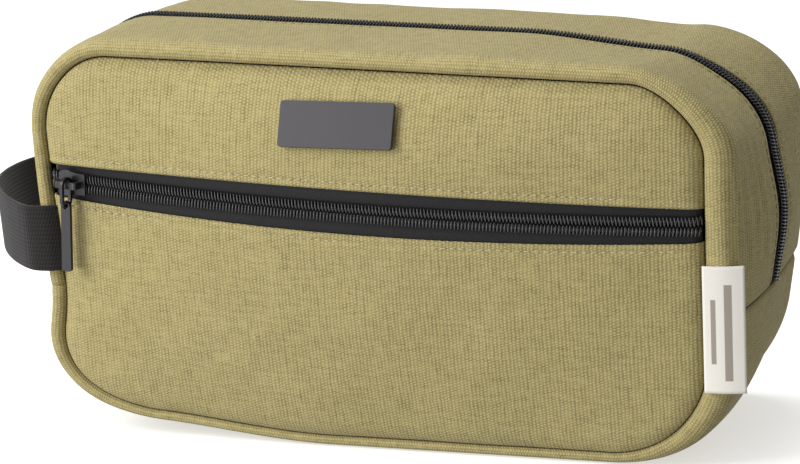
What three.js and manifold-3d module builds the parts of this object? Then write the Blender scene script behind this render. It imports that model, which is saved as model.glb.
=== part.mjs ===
// A canvas shaving kit bag: two soft panels joined by a gusset, a zip round the top and both sides,
// a zipped front pocket, a webbing carry loop, a folded side label and a pinned metal plate.
// Millimetres. +X is the wearer's right of the front, -Y is the front, +Z is up, and the origin is on
// the flat underside, midway between the seams.
import * as THREE from "three";
import { mergeVertices } from "three/addons/utils/BufferGeometryUtils.js";
import Module from "manifold-3d";

const wasm = await Module();
wasm.setup();

// ---- driving dimensions ----
const SEAM_HALF_WIDTH = 125; // the two panels' outline, at the stitching
const SEAM_LOW = 4;
const SEAM_TOP = 141;
const TOP_CORNER = 27;
const LOW_CORNER = 37;
const SEAM_DEPTH = 50.5; // each seam is this far from the middle
const ROLL_DEPTH = 53; // the gusset rolls forward past the seam to here
const LEFT_BULGE = 8; // how far the gusset stands out past the seam
const SIDE_BULGE = 13.5; // the same on the right, where the packed side swells more
const TOP_BULGE = 8;
const BASE_BULGE = 4;
const SIDE_SEAM_HEIGHT = 57; // where the zip gusset meets the base gusset

const CANVAS = 1.2;
const LINING_TOP = -2.5; // the lining lies between these two offsets from the canvas face
const LINING_BOTTOM = -3.1;
const GAP = 0.3; // between pieces that touch
const FLARE = 0.07; // the left side leans outwards by this share of its height over the side seam
const TOP_SLOPE = 0.0306; // the top falls gently to the right
// The top's rise at the left side and over the left corner, and its slump past the right one.
const TOP_LIFT = { left: 1, start: 3.6, slump: 3.2 };
const PANEL_INSET = 0.8; // a panel's edge is inside its seam by this

const FRONT_CROWN = 14; // how far the packed front swells
const BACK_CROWN = 5;
const EDGE_ROLL = 2.5; // a panel turns back into its seam by this, over EDGE_ROLL_WIDTH
const EDGE_ROLL_WIDTH = 6;

const MOUTH_HALF_GAP = 4.5; // canvas edges of the main zip
const TAPE_REACH = 14; // tape under the canvas, from the zip's middle
const TAPE = { top: -1.7, bottom: -2.2 };
const COIL = { inner: 1.1, outer: 3.9, top: 1, bottom: -1.2, edge: 0.4 };

const POCKET_ZIP_HEIGHT = 93.7; // at the seams
const POCKET_ZIP_SAG = 1; // lower than that in the middle
const POCKET_ZIP_TILT = THREE.MathUtils.degToRad(2.1); // the right end is a little lower
const POCKET_SLOT_END = 6; // half height of the slot at the seams, and in the middle
const POCKET_SLOT_MIDDLE = 8.1;
const POCKET_ZIP_START = -123.4; // its ends, just short of the seams
const POCKET_ZIP_END = 121.2;
const POCKET_DEPTH_SHARE = 0.3; // of the front's swelling that the pocket's inner wall follows

const PLATE = { width: 43.8, height: 16.9, thickness: 2, x: -6, z: 123.8, corner: 1.2 };
const PLATE_PIN = { radius: 1.1, apart: 32, length: 4.6 };

const STRAP = { width: 25, thickness: 1.6, height: 75.8 };
const LABEL = { width: 15, height: 46, thickness: 0.8, low: 29.4, turn: 12 };

const SLIDER = { length: 12, width: 10, wing: 1, post: 1.6, bridgeWidth: 2.6, bridgeLength: 9 };
const LINK = { inner: 1.9, wire: 1.2, straight: 5.5 };
const PULL = { width: 4.4, thickness: 1.4, eye: 1.1 };
const POCKET_PULL_LENGTH = 25;
const MAIN_PULL_LENGTH = 12.5; // short, so that it swings clear inside the carry loop
const POCKET_SLIDER_X = -116;
const MAIN_SLIDER_Z = 66.5;

// ---- materials ----
const material = (color, roughness, metalness = 0) =>
  new THREE.MeshStandardMaterial({ color, roughness, metalness });
const canvas = material(0x9c9460, 0.95);
const liningCloth = material(0x6b6748, 0.85);
const blackTape = material(0x202022, 0.9);
const nylon = material(0x2a2a2c, 0.45);
const webbing = material(0x252426, 0.9);
const bindingTape = material(0x2b2a28, 0.9);
const gunmetal = material(0x3c3b3f, 0.4, 0.9);
const platePaint = material(0x69686c, 0.45, 0.6);
const cotton = material(0xece7dc, 0.9);

const bag = new THREE.Group();

function add(name, geometry, surface, parent = bag) {
  const mesh = new THREE.Mesh(geometry, surface);
  mesh.name = name;
  parent.add(mesh);
  return mesh;
}

// ---- how the soft pieces have settled ----

const smooth = (value, from, to) => THREE.MathUtils.smoothstep(value, from, to);
const lean = (x, z) => -FLARE * Math.max(0, z - SIDE_SEAM_HEIGHT) * smooth(-x, 60, 110);
function lift(x, z) {
  const straight = SEAM_HALF_WIDTH - TOP_CORNER;
  const slope = TOP_LIFT.start - TOP_SLOPE * (straight + THREE.MathUtils.clamp(x, -straight, straight));
  const left = (TOP_LIFT.start - TOP_LIFT.left) * smooth(-x, straight, SEAM_HALF_WIDTH);
  const right = TOP_LIFT.slump * smooth(x, straight, SEAM_HALF_WIDTH);
  return (slope - left - right) * smooth(z, 100, SEAM_TOP - 1);
}
const settled = ({ x, y, z }) => new THREE.Vector3(x + lean(x, z), y, z + lift(x, z));

// ---- solids from sheets ----

// A closed sheet from two grids of points, each settled as the cloth is.
function softSheet(outer, inner, ring = false) {
  return thickSheet(...[outer, inner].map((grid) => grid.map((row) => row.map(settled))), ring);
}

// A closed sheet with thickness, from two grids of points. A closed ring joins its last row to its first.
function thickSheet(outer, inner, ring = false) {
  const rows = outer.length;
  const columns = outer[0].length;
  const last = columns - 1;
  const at = (layer, i, j) => (layer * rows + (i % rows)) * columns + j;
  const index = [];
  const quad = (a, b, c, d) => index.push(a, b, c, a, c, d);
  for (let i = 0; i < (ring ? rows : rows - 1); i++) {
    for (let j = 0; j < last; j++) {
      quad(at(0, i, j), at(0, i, j + 1), at(0, i + 1, j + 1), at(0, i + 1, j));
      quad(at(1, i, j), at(1, i + 1, j), at(1, i + 1, j + 1), at(1, i, j + 1));
    }
    quad(at(0, i, 0), at(0, i + 1, 0), at(1, i + 1, 0), at(1, i, 0));
    quad(at(1, i, last), at(1, i + 1, last), at(0, i + 1, last), at(0, i, last));
  }
  if (!ring)
    for (let j = 0; j < last; j++) {
      quad(at(1, 0, j), at(1, 0, j + 1), at(0, 0, j + 1), at(0, 0, j));
      quad(at(0, rows - 1, j), at(0, rows - 1, j + 1), at(1, rows - 1, j + 1), at(1, rows - 1, j));
    }
  const points = [...outer.flat(), ...inner.flat()];
  let volume = 0;
  for (let k = 0; k < index.length; k += 3) {
    const [a, b, c] = [0, 1, 2].map((n) => points[index[k + n]]);
    volume += a.dot(b.clone().cross(c));
  }
  if (volume < 0) index.reverse();
  return new THREE.BufferGeometry().setFromPoints(points).setIndex(index);
}

function toManifold(geometry) {
  const plain = geometry.clone();
  plain.deleteAttribute("normal");
  plain.deleteAttribute("uv");
  const merged = mergeVertices(plain, 1e-4);
  return new wasm.Manifold(
    new wasm.Mesh({
      numProp: 3,
      vertProperties: new Float32Array(merged.attributes.position.array),
      triVerts: new Uint32Array(merged.index.array),
    }),
  );
}

function fromManifold(made) {
  const mesh = made.getMesh();
  return new THREE.BufferGeometry()
    .setAttribute("position", new THREE.BufferAttribute(mesh.vertProperties, 3))
    .setIndex(new THREE.BufferAttribute(mesh.triVerts, 1));
}

const united = (...geometries) =>
  fromManifold(geometries.map(toManifold).reduce((a, b) => a.add(b)));

const drilled = (geometry, ...holes) =>
  fromManifold(holes.map(toManifold).reduce((a, b) => a.subtract(b), toManifold(geometry)));

const box = (width, depth, height, x, y, z) =>
  new THREE.BoxGeometry(width, depth, height).translate(x, y, z);

const steps = (from, to, count) =>
  Array.from({ length: count + 1 }, (_, k) => from + ((to - from) * k) / count);

// ---- the seam's outline, in X and Z ----

// Runs go clockwise as seen from the front, so the outward side is on the left of travel.
const leftRun = new THREE.Path();
leftRun.moveTo(-SEAM_HALF_WIDTH, SIDE_SEAM_HEIGHT + GAP);
leftRun.lineTo(-SEAM_HALF_WIDTH, SEAM_TOP - TOP_CORNER);
leftRun.absarc(
  TOP_CORNER - SEAM_HALF_WIDTH,
  SEAM_TOP - TOP_CORNER,
  TOP_CORNER,
  Math.PI,
  Math.PI / 2,
  true,
);

const lipRun = new THREE.Path();
lipRun.moveTo(TOP_CORNER - SEAM_HALF_WIDTH + GAP, SEAM_TOP);
lipRun.lineTo(SEAM_HALF_WIDTH - TOP_CORNER - GAP, SEAM_TOP);

const rightRun = new THREE.Path();
rightRun.moveTo(SEAM_HALF_WIDTH - TOP_CORNER, SEAM_TOP);
rightRun.absarc(
  SEAM_HALF_WIDTH - TOP_CORNER,
  SEAM_TOP - TOP_CORNER,
  TOP_CORNER,
  Math.PI / 2,
  0,
  true,
);
rightRun.lineTo(SEAM_HALF_WIDTH, SIDE_SEAM_HEIGHT + GAP);

function traceBase(path, endHeight) {
  path.lineTo(SEAM_HALF_WIDTH, SEAM_LOW + LOW_CORNER);
  path.absarc(
    SEAM_HALF_WIDTH - LOW_CORNER,
    SEAM_LOW + LOW_CORNER,
    LOW_CORNER,
    0,
    -Math.PI / 2,
    true,
  );
  path.lineTo(LOW_CORNER - SEAM_HALF_WIDTH, SEAM_LOW);
  path.absarc(
    LOW_CORNER - SEAM_HALF_WIDTH,
    SEAM_LOW + LOW_CORNER,
    LOW_CORNER,
    -Math.PI / 2,
    -Math.PI,
    true,
  );
  path.lineTo(-SEAM_HALF_WIDTH, endHeight);
  return path;
}

const baseRun = new THREE.Path();
baseRun.moveTo(SEAM_HALF_WIDTH, SIDE_SEAM_HEIGHT);
traceBase(baseRun, SIDE_SEAM_HEIGHT);

const wholeRun = new THREE.Path();
wholeRun.moveTo(TOP_CORNER - SEAM_HALF_WIDTH, SEAM_TOP);
wholeRun.lineTo(SEAM_HALF_WIDTH - TOP_CORNER, SEAM_TOP);
wholeRun.absarc(
  SEAM_HALF_WIDTH - TOP_CORNER,
  SEAM_TOP - TOP_CORNER,
  TOP_CORNER,
  Math.PI / 2,
  0,
  true,
);
traceBase(wholeRun, SEAM_TOP - TOP_CORNER);
wholeRun.absarc(
  TOP_CORNER - SEAM_HALF_WIDTH,
  SEAM_TOP - TOP_CORNER,
  TOP_CORNER,
  Math.PI,
  Math.PI / 2,
  true,
);

// Points along a run, each with its outward direction. Straight stretches take few.
const ARC_STEPS = 7;
const STRAIGHT_STEP = 60;
function stations(path) {
  const found = [];
  for (const curve of path.curves) {
    const straight = curve.isLineCurve;
    if (straight && curve.getLength() < GAP) continue;
    const count = straight ? Math.ceil(curve.getLength() / STRAIGHT_STEP) : ARC_STEPS;
    for (const t of steps(0, 1, count)) {
      const at = curve.getPoint(t);
      const along = curve.getTangent(t);
      if (found.length && found.at(-1).at.distanceTo(at) < GAP / 2) continue;
      found.push({ at, out: new THREE.Vector2(-along.y, along.x) });
    }
  }
  return found;
}

// ---- the gusset's section, from a seam to the middle ----

const ROLL_WIDTH = 6.5; // at the sides and top, and under the base
const LOW_ROLL_WIDTH = 3.2;
const ROLL_START = THREE.MathUtils.degToRad(142);
const ROLL_STEPS = 5;
const CROWN_SHARE = 0.14; // of the bulge that comes after the roll
const ROLL_INNER = ROLL_DEPTH - ROLL_WIDTH;

// How far the gusset stands out of the seam's outline here, and how much of that is its gentle crown.
function bulgeAt(out) {
  const down = Math.max(0, -out.y);
  const along = out.y > 0 ? TOP_BULGE : BASE_BULGE;
  return {
    most: (out.x < 0 ? LEFT_BULGE : SIDE_BULGE) * out.x ** 2 + along * out.y ** 2,
    crown: CROWN_SHARE * (1 - down ** 2),
    width: ROLL_WIDTH + (LOW_ROLL_WIDTH - ROLL_WIDTH) * down ** 2,
  };
}

const crownHeight = ({ most, crown }, y) =>
  most * (1 - crown) + most * crown * (1 - (y / ROLL_INNER) ** 2);

// (height out of the outline, distance from the middle), from the seam round the roll to `inner`.
function halfSection(bulge, inner) {
  const half = (bulge.most * (1 - bulge.crown)) / 2;
  const start = half * (1 + Math.cos(ROLL_START));
  const rollInner = SEAM_DEPTH - bulge.width * Math.sin(ROLL_START);
  const roll = steps(ROLL_START, 0, ROLL_STEPS).map((angle) => {
    const height = half * (1 + Math.cos(angle));
    return new THREE.Vector2(
      height - start * (angle / ROLL_START),
      rollInner + bulge.width * Math.sin(angle),
    );
  });
  const crown = [34, 20, 9, inner]
    .filter((y, k, all) => y > inner || k === all.length - 1)
    .map((y) => new THREE.Vector2(crownHeight(bulge, y), y));
  return [...roll, ...crown];
}

// A section moved inwards by `depth`, at right angles to itself.
function offsetSection(section, depth) {
  return section.map((point, k) => {
    const before = section[Math.max(0, k - 1)];
    const after = section[Math.min(section.length - 1, k + 1)];
    const along = after.clone().sub(before).normalize();
    return new THREE.Vector2(point.x - along.y * -depth, point.y - along.x * depth);
  });
}

const inSpace = (station, height, y) =>
  new THREE.Vector3(station.at.x + station.out.x * height, y, station.at.y + station.out.y * height);

// side is -1 for the front half and +1 for the back half.
function gussetSheet(run, side, inner, top, bottom, skip = 0) {
  const grids = [top, bottom].map((depth) =>
    stations(run).map((station) => {
      const section = halfSection(bulgeAt(station.out), inner);
      return offsetSection(section, -depth)
        .slice(skip)
        .map((point) => inSpace(station, point.x, side * point.y));
    }),
  );
  return softSheet(...grids);
}

// A strip between distances `ys` from the middle, with its faces at these offsets from the canvas.
function strip(run, side, ys, tops, bottoms) {
  const grids = [tops, bottoms].map((offsets) =>
    stations(run).map((station) =>
      ys.map((y, k) => {
        const height = crownHeight(bulgeAt(station.out), y) + offsets[k];
        return inSpace(station, height, side * y);
      }),
    ),
  );
  return softSheet(...grids);
}

const tapeStrip = (run, side) => {
  const ys = [COIL.inner, MOUTH_HALF_GAP, 9, TAPE_REACH];
  return strip(run, side, ys, ys.map(() => TAPE.top), ys.map(() => TAPE.bottom));
};

const coilStrip = (run, side) => {
  const ys = [COIL.inner, COIL.inner + 0.7, COIL.outer - 0.7, COIL.outer];
  const tops = [COIL.edge, COIL.top, COIL.top, COIL.edge];
  return strip(run, side, ys, tops, ys.map(() => COIL.bottom));
};

// ---- zip gusset, its lining, tapes and coils ----

// Each strip runs up one side, over the top and down the other. Its top stretch is the lip that folds
// back from the open mouth, so each strip is in three nodes.
const runs = { left: leftRun, lip: lipRun, right: rightRun };
const LINING_MOUTH = 9; // the lining stops this far from the zip's middle
const LINING_SKIP = 4; // section points left out next to the seam
for (const [half, side] of [["front", -1], ["back", 1]])
  for (const [place, run] of Object.entries(runs)) {
    add(`zip_gusset_${half}_${place}`, gussetSheet(run, side, MOUTH_HALF_GAP, 0, -CANVAS), canvas);
    add(
      `lining_gusset_${half}_${place}`,
      gussetSheet(run, side, LINING_MOUTH, LINING_TOP, LINING_BOTTOM, LINING_SKIP),
      liningCloth,
    );
    add(`main_zip_tape_${half}_${place}`, tapeStrip(run, side), blackTape);
    add(`main_zip_coil_${half}_${place}`, coilStrip(run, side), nylon);
  }

// ---- base gusset and its lining, in one piece from seam to seam ----

function baseSheet(top, bottom, skip) {
  const grids = [top, bottom].map((depth) =>
    stations(baseRun).map((station) => {
      const section = halfSection(bulgeAt(station.out), 9);
      const half = offsetSection(section, -depth).slice(skip);
      const front = half.map((point) => inSpace(station, point.x, -point.y));
      const back = half.map((point) => inSpace(station, point.x, point.y));
      return [...front, ...back.reverse()];
    }),
  );
  return softSheet(...grids);
}
add("base_gusset", baseSheet(0, -CANVAS, 0), canvas);
add("lining_base", baseSheet(LINING_TOP, LINING_BOTTOM, LINING_SKIP), liningCloth);

// ---- panels ----

// How far a point is inside the seam's outline.
function insideSeam(x, z) {
  const upper = z > (SEAM_LOW + SEAM_TOP) / 2;
  const corner = upper ? TOP_CORNER : LOW_CORNER;
  const acrossX = Math.abs(x) - (SEAM_HALF_WIDTH - corner);
  const acrossZ = upper ? z - (SEAM_TOP - corner) : SEAM_LOW + corner - z;
  const outside = Math.hypot(Math.max(acrossX, 0), Math.max(acrossZ, 0));
  return corner - outside - Math.min(Math.max(acrossX, acrossZ), 0);
}

const halfWidthAt = (z, inset) => {
  const upper = z > (SEAM_LOW + SEAM_TOP) / 2;
  const corner = upper ? TOP_CORNER : LOW_CORNER;
  const beyond = Math.max(0, upper ? z - (SEAM_TOP - corner) : SEAM_LOW + corner - z);
  const reach = Math.sqrt(Math.max(0, (corner - inset) ** 2 - beyond ** 2));
  return SEAM_HALF_WIDTH - corner + reach;
};

// The pocket zip lies on an arc about a leaning axis far behind the bag, so its slider turns on that.
const LEAN = Math.atan2(POCKET_ZIP_SAG, FRONT_CROWN);
const ARC_RISE = Math.hypot(POCKET_ZIP_SAG, FRONT_CROWN);
const ARC_RADIUS = (SEAM_HALF_WIDTH ** 2 + ARC_RISE ** 2) / (2 * ARC_RISE);
const arcRise = (x) => Math.sqrt(ARC_RADIUS ** 2 - x ** 2) - ARC_RADIUS + ARC_RISE;
const swellAt = (x) => arcRise(x) * Math.cos(LEAN);
const zipHeightAt = (x) =>
  POCKET_ZIP_HEIGHT - arcRise(x) * Math.sin(LEAN) - x * Math.tan(POCKET_ZIP_TILT);
const slotHalfAt = (x) =>
  POCKET_SLOT_END +
  (POCKET_SLOT_MIDDLE - POCKET_SLOT_END) * (1 - (x / SEAM_HALF_WIDTH) ** 2);

const FLAT_BAND = 12; // the front is level for this far above and below the pocket zip
function frontShape(z) {
  const middle = POCKET_ZIP_HEIGHT - POCKET_ZIP_SAG / 2;
  const past = Math.max(0, Math.abs(z - middle) - FLAT_BAND);
  const span = z > middle ? SEAM_TOP - middle - FLAT_BAND : middle - FLAT_BAND - SEAM_LOW;
  return 1 - (past / span) ** 2;
}

function edgeRoll(x, z) {
  const share = Math.min(1, Math.max(0, insideSeam(x, z) - PANEL_INSET) / EDGE_ROLL_WIDTH);
  return EDGE_ROLL * Math.sqrt(1 - (1 - share) ** 2);
}

const frontFace = (x, z) => -(SEAM_DEPTH + edgeRoll(x, z) + swellAt(x) * frontShape(z));
const backFace = (x, z) => {
  const u = x / SEAM_HALF_WIDTH;
  const v = (2 * z - SEAM_TOP - SEAM_LOW) / (SEAM_TOP - SEAM_LOW);
  return SEAM_DEPTH + edgeRoll(x, z) + BACK_CROWN * (1 - u ** 2) * (1 - v ** 2);
};

const ACROSS = [-1, -0.985, -0.96, -0.9, -0.75, -0.55, -0.3, 0, 0.3, 0.55, 0.75, 0.9, 0.96, 0.985, 1];

// A panel from a lower to an upper edge, each a height at x, with rows at these shares of the way up.
function panel(lowEdge, highEdge, shares, inset, face, thickness) {
  const grid = (moved) =>
    shares.map((share) => {
      const between = (x) => lowEdge(x) + (highEdge(x) - lowEdge(x)) * share;
      const reach = (side) => halfWidthAt(between(side * SEAM_HALF_WIDTH), inset);
      const [left, right] = [reach(-1), reach(1)];
      return ACROSS.map((u) => {
        const x = u * (u < 0 ? left : right);
        const z = between(x);
        return new THREE.Vector3(x, face(x, z) + moved, z);
      });
    });
  return softSheet(grid(0), grid(thickness));
}

const lowSeam = () => SEAM_LOW + PANEL_INSET;
const topSeam = () => SEAM_TOP - PANEL_INSET;
const TOWARDS_LOW = [0, 0.02, 0.06, 0.12, 0.22, 0.36, 0.5, 0.7, 0.86, 1];
const TOWARDS_TOP = [0, 0.15, 0.36, 0.56, 0.72, 0.84, 0.92, 0.97, 1];
const BOTH_WAYS = [0, 0.01, 0.035, 0.08, 0.15, 0.26, 0.42, 0.58, 0.74, 0.86, 0.93, 0.97, 0.99, 1];

const slotLow = (x) => zipHeightAt(x) - slotHalfAt(x);
add("pocket_panel", panel(lowSeam, slotLow, TOWARDS_LOW, PANEL_INSET, frontFace, CANVAS), canvas);
const upperPanel = panel(
  (x) => zipHeightAt(x) + slotHalfAt(x),
  topSeam,
  TOWARDS_TOP,
  PANEL_INSET,
  frontFace,
  CANVAS,
);
add("back_panel", panel(lowSeam, topSeam, BOTH_WAYS, PANEL_INSET, backFace, -CANVAS), canvas);

// The wall between the pocket and the main compartment, which is also that compartment's front lining.
const LINING = LINING_TOP - LINING_BOTTOM;
const WALL_INSET = 1.6;
const wallFace = (x, z) =>
  -(SEAM_DEPTH - 2 + POCKET_DEPTH_SHARE * swellAt(x) * Math.max(0, frontShape(z)));
const wallLow = () => SEAM_LOW + WALL_INSET;
const wallTop = () => SEAM_TOP - WALL_INSET;
add("pocket_wall", panel(wallLow, wallTop, BOTH_WAYS, WALL_INSET, wallFace, LINING), liningCloth);
const backLiningFace = (x, z) => backFace(x, z) - edgeRoll(x, z) - 2;
add(
  "lining_back_panel",
  panel(wallLow, wallTop, BOTH_WAYS, WALL_INSET, backLiningFace, -LINING),
  liningCloth,
);

// ---- seam bindings: a bound strip of seam allowance stands inwards all round each seam ----

const BINDING = { near: -2, far: -8, face: 46.9, thickness: 1.1 };
for (const [half, side] of [["front", -1], ["back", 1]]) {
  const loop = stations(wholeRun);
  if (loop[0].at.distanceTo(loop.at(-1).at) < GAP) loop.pop();
  const grid = (y) =>
    loop.map((station) =>
      [BINDING.near, BINDING.far].map((height) => inSpace(station, height, side * y)),
    );
  const made = softSheet(grid(BINDING.face), grid(BINDING.face - BINDING.thickness), true);
  add(`seam_binding_${half}`, made, bindingTape);
}

// ---- pocket zip, swept round its leaning axis ----

const tilting = new THREE.Vector3(0, 1, 0);
const zipAxis = new THREE.Vector3(0, -Math.sin(LEAN), Math.cos(LEAN));
const zipMiddle = new THREE.Vector3(
  0,
  -(SEAM_DEPTH + EDGE_ROLL + FRONT_CROWN),
  POCKET_ZIP_HEIGHT - POCKET_ZIP_SAG,
);
const arcInwards = new THREE.Vector3(0, Math.cos(LEAN), Math.sin(LEAN));
const zipCentre = zipMiddle.clone().addScaledVector(arcInwards, ARC_RADIUS);
const turnAt = (x) => Math.asin(x / ARC_RADIUS);

// A point `height` above the zip's line and `out` in front of the canvas face, turned along the arc.
function onPocketZip(turn, height, out) {
  return zipMiddle
    .clone()
    .add(new THREE.Vector3(0, -out, height))
    .sub(zipCentre)
    .applyAxisAngle(zipAxis, turn)
    .add(zipCentre)
    .sub(zipMiddle)
    .applyAxisAngle(tilting, POCKET_ZIP_TILT)
    .add(zipMiddle);
}

const POCKET_ZIP_STEPS = 16;
const pocketTurns = steps(turnAt(POCKET_ZIP_START), turnAt(POCKET_ZIP_END), POCKET_ZIP_STEPS);
const POCKET_TAPE_REACH = 11;
for (const [place, side] of [["upper", 1], ["lower", -1]]) {
  const sweep = (heights, outs) =>
    pocketTurns.map((turn) => heights.map((h, k) => onPocketZip(turn, side * h, outs[k])));
  const tape = [COIL.inner, POCKET_SLOT_MIDDLE, POCKET_TAPE_REACH];
  const tapeGrids = [TAPE.top, TAPE.bottom].map((out) => sweep(tape, tape.map(() => out)));
  add(`pocket_zip_tape_${place}`, thickSheet(...tapeGrids), blackTape);
  const coil = [COIL.inner, COIL.inner + 0.7, COIL.outer - 0.7, COIL.outer];
  const coilTop = [COIL.edge, COIL.top, COIL.top, COIL.edge];
  const coilGrids = [coilTop, coil.map(() => COIL.bottom)].map((outs) => sweep(coil, outs));
  add(`pocket_zip_coil_${place}`, thickSheet(...coilGrids), nylon);
}

// ---- sliders: local X is the way of travel, local Z stands out of the tape's face ----

const WING_TOP = -TAPE.top + COIL.top + GAP; // underside of the outer wing, above the tape's face
const WING_LOW = TAPE.bottom - TAPE.top - GAP; // face of the inner wing
const BRIDGE_OPENING = 2.8;
const BRIDGE_BAR = 1.4;
const BAR_MIDDLE = WING_TOP + SLIDER.wing + BRIDGE_OPENING + BRIDGE_BAR / 2;

// A wing is wide at the nose, where the two coils part, and narrower at the tail.
function wing(low) {
  const half = SLIDER.length / 2;
  const outline = new THREE.Shape();
  outline.moveTo(half, -SLIDER.width * 0.4);
  outline.lineTo(half, SLIDER.width * 0.4);
  outline.quadraticCurveTo(0, SLIDER.width * 0.4, -half * 0.3, SLIDER.width / 2);
  outline.quadraticCurveTo(-half, SLIDER.width / 2, -half, SLIDER.width * 0.28);
  outline.lineTo(-half, -SLIDER.width * 0.28);
  outline.quadraticCurveTo(-half, -SLIDER.width / 2, -half * 0.3, -SLIDER.width / 2);
  outline.quadraticCurveTo(0, -SLIDER.width * 0.4, half, -SLIDER.width * 0.4);
  return new THREE.ExtrudeGeometry(outline, {
    depth: SLIDER.wing,
    bevelEnabled: false,
    curveSegments: 5,
  }).translate(0, 0, low);
}

// The bridge is an arch over the outer wing, along the way of travel.
function bridge() {
  const half = SLIDER.bridgeLength / 2;
  const foot = WING_TOP + SLIDER.wing - 0.2;
  const crown = BAR_MIDDLE + BRIDGE_BAR / 2;
  const outline = new THREE.Shape();
  outline.moveTo(-half, foot);
  outline.lineTo(half, foot);
  outline.lineTo(half, crown - 1.2);
  outline.quadraticCurveTo(half, crown, half - 1.2, crown);
  outline.lineTo(1.2 - half, crown);
  outline.quadraticCurveTo(-half, crown, -half, crown - 1.2);
  const window = new THREE.Path();
  window.moveTo(BRIDGE_BAR - half, foot + 0.2);
  window.lineTo(BRIDGE_BAR - half, crown - BRIDGE_BAR);
  window.lineTo(half - BRIDGE_BAR, crown - BRIDGE_BAR);
  window.lineTo(half - BRIDGE_BAR, foot + 0.2);
  outline.holes.push(window);
  return new THREE.ExtrudeGeometry(outline, {
    depth: SLIDER.bridgeWidth,
    bevelEnabled: false,
    curveSegments: 4,
  })
    .rotateX(Math.PI / 2)
    .translate(0, SLIDER.bridgeWidth / 2, 0);
}

function sliderBody() {
  const post = box(
    4,
    SLIDER.post,
    WING_TOP - WING_LOW + 0.4,
    1 - SLIDER.length / 2 + 2,
    0,
    (WING_TOP + WING_LOW) / 2,
  );
  return united(wing(WING_TOP), wing(WING_LOW - SLIDER.wing), post, bridge());
}

// An oval wire link in the X-Y plane with its upper bend's centre at the origin, hanging along -X.
function link() {
  const outer = LINK.inner + LINK.wire;
  const oval = (radius, Kind) => {
    const path = new Kind();
    path.absarc(0, 0, radius, -Math.PI / 2, Math.PI / 2, false);
    path.absarc(-LINK.straight, 0, radius, Math.PI / 2, (3 * Math.PI) / 2, false);
    return path;
  };
  const outline = oval(outer, THREE.Shape);
  outline.holes.push(oval(LINK.inner, THREE.Path));
  return new THREE.ExtrudeGeometry(outline, {
    depth: LINK.wire,
    bevelEnabled: false,
    curveSegments: 8,
  }).translate(0, 0, -LINK.wire / 2);
}

// A flat pull in the X-Y plane, hanging along -X from an eye at the origin.
function pullTab(length) {
  const eyeEdge = 2.1;
  const half = PULL.width / 2;
  const outline = new THREE.Shape();
  outline.absarc(0, 0, eyeEdge, -Math.PI / 2, Math.PI / 2, false);
  outline.lineTo(-3, half);
  outline.lineTo(1.4 - length, half);
  outline.quadraticCurveTo(-length, half, -length, half - 1.4);
  outline.lineTo(-length, 1.4 - half);
  outline.quadraticCurveTo(-length, -half, 1.4 - length, -half);
  outline.lineTo(-3, -half);
  const eye = new THREE.Path();
  eye.absarc(0, 0, PULL.eye, 0, 2 * Math.PI, true);
  outline.holes.push(eye);
  return new THREE.ExtrudeGeometry(outline, {
    depth: PULL.thickness,
    bevelEnabled: false,
    curveSegments: 6,
  }).translate(0, 0, -PULL.thickness / 2);
}

const placed = (travel, across, outwards, at) => {
  const frame = new THREE.Group();
  frame.quaternion.setFromRotationMatrix(new THREE.Matrix4().makeBasis(travel, across, outwards));
  frame.position.copy(at);
  bag.add(frame);
  return frame;
};

const LINK_REACH = LINK.straight + LINK.inner + LINK.wire / 2; // bend centre to the lower wire

// Pocket slider: parked at the left, nose to the left, its link round the bridge's bar.
{
  const turn = turnAt(POCKET_SLIDER_X);
  const at = onPocketZip(turn, 0, TAPE.top);
  const facing = (x, y) =>
    new THREE.Vector3(x, y, 0)
      .applyAxisAngle(zipAxis, turn)
      .applyAxisAngle(tilting, POCKET_ZIP_TILT);
  const travel = facing(1, 0);
  const outwards = facing(0, -1);
  const across = outwards.clone().cross(travel);
  const frame = placed(travel, across, outwards, at);
  add("pocket_zip_slider", sliderBody(), gunmetal, frame);
  const ring = add("pocket_zip_link", link(), gunmetal, frame);
  const hanging = new THREE.Matrix4().makeBasis(
    new THREE.Vector3(0, 1, 0),
    new THREE.Vector3(0, 0, 1),
    new THREE.Vector3(1, 0, 0),
  );
  ring.quaternion.setFromRotationMatrix(hanging);
  ring.position.set(0, 0, BAR_MIDDLE);
  const tab = add("pocket_zip_pull", pullTab(POCKET_PULL_LENGTH), gunmetal, frame);
  tab.rotation.set(0, 0, Math.PI / 2);
  tab.position.set(0, -LINK_REACH, BAR_MIDDLE);
}

// Main slider: parked at the closed end low on the left side, nose down.
{
  const face = -(SEAM_HALF_WIDTH + LEFT_BULGE + TAPE.top);
  const up = new THREE.Vector3(-FLARE, 0, 1).normalize();
  const across = new THREE.Vector3(0, 1, 0);
  const outwards = up.clone().cross(across);
  const at = settled(new THREE.Vector3(face, 0, MAIN_SLIDER_Z));
  const frame = placed(up, across, outwards, at);
  add("main_zip_slider", sliderBody(), gunmetal, frame);
  const wireAt = 1; // the link's upper wire passes under the bridge this far above its middle
  const bendAt = wireAt - LINK.inner - LINK.wire / 2;
  const ring = add("main_zip_link", link(), gunmetal, frame);
  ring.position.set(bendAt, 0, BAR_MIDDLE - (BRIDGE_OPENING + BRIDGE_BAR) / 2);
  const tab = add("main_zip_pull", pullTab(MAIN_PULL_LENGTH), gunmetal, frame);
  tab.rotation.set(Math.PI / 2, 0, 0);
  tab.position.set(bendAt - LINK_REACH, 0, ring.position.z);
}

// ---- metal plate, pinned through the upper panel to a backing plate ----

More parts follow.
